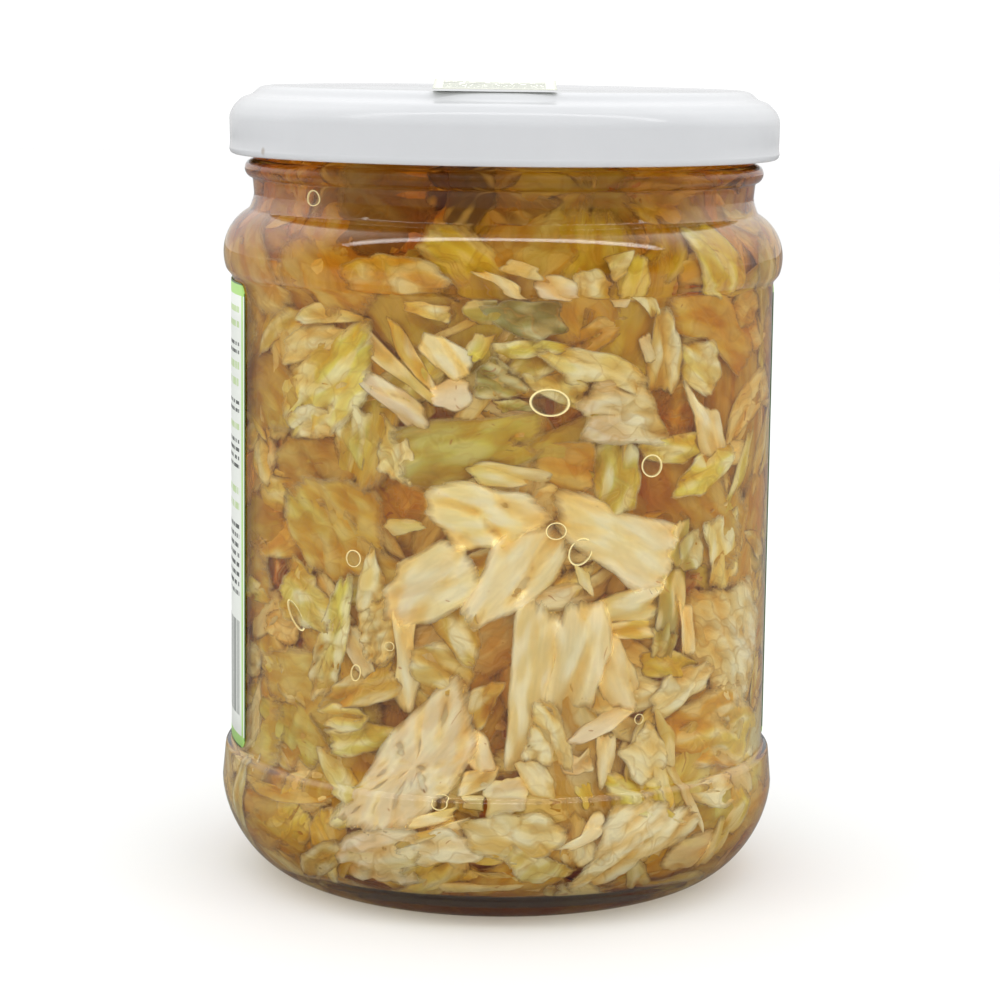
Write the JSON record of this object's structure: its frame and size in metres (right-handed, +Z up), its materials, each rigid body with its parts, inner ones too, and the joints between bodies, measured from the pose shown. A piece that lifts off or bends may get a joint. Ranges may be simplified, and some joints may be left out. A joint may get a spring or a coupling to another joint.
{
  "type": "jar of sauerkraut",
  "caption": "Shut round glass jar packed with shredded pickled cabbage in brine, with a white twist-off metal lid, a paper label round the back and a small sticker on the lid.",
  "frame": {"origin": "centre of the base, on the surface that the jar stands on", "axes": "+Z up along the jar's axis; -Y is the front, the bare side that shows the contents; the label wraps from the right side round the back (+Y) to the left front"},
  "size_m": [0.0882, 0.0882, 0.1259],
  "materials": {
    "clear_glass": "clear flint glass with a faint green tint, moulded, with a knurled bearing ring",
    "white_enamel": "glossy white enamelled tinplate with a few small scuffs",
    "label_paper": null,
    "sticker_paper": null,
    "pickled_cabbage": "wet translucent cabbage shreds in brine, cream ribs to golden and olive leaf",
    "brine": "clear golden-brown brine between the pieces, and the bubbles caught in it"
  },
  "bodies": {
    "root": {"jar": "clear_glass", "lid": "white_enamel", "label": "label_paper", "lid_sticker": "sticker_paper", "sauerkraut": "pickled_cabbage"}
  },
  "joints": []
}
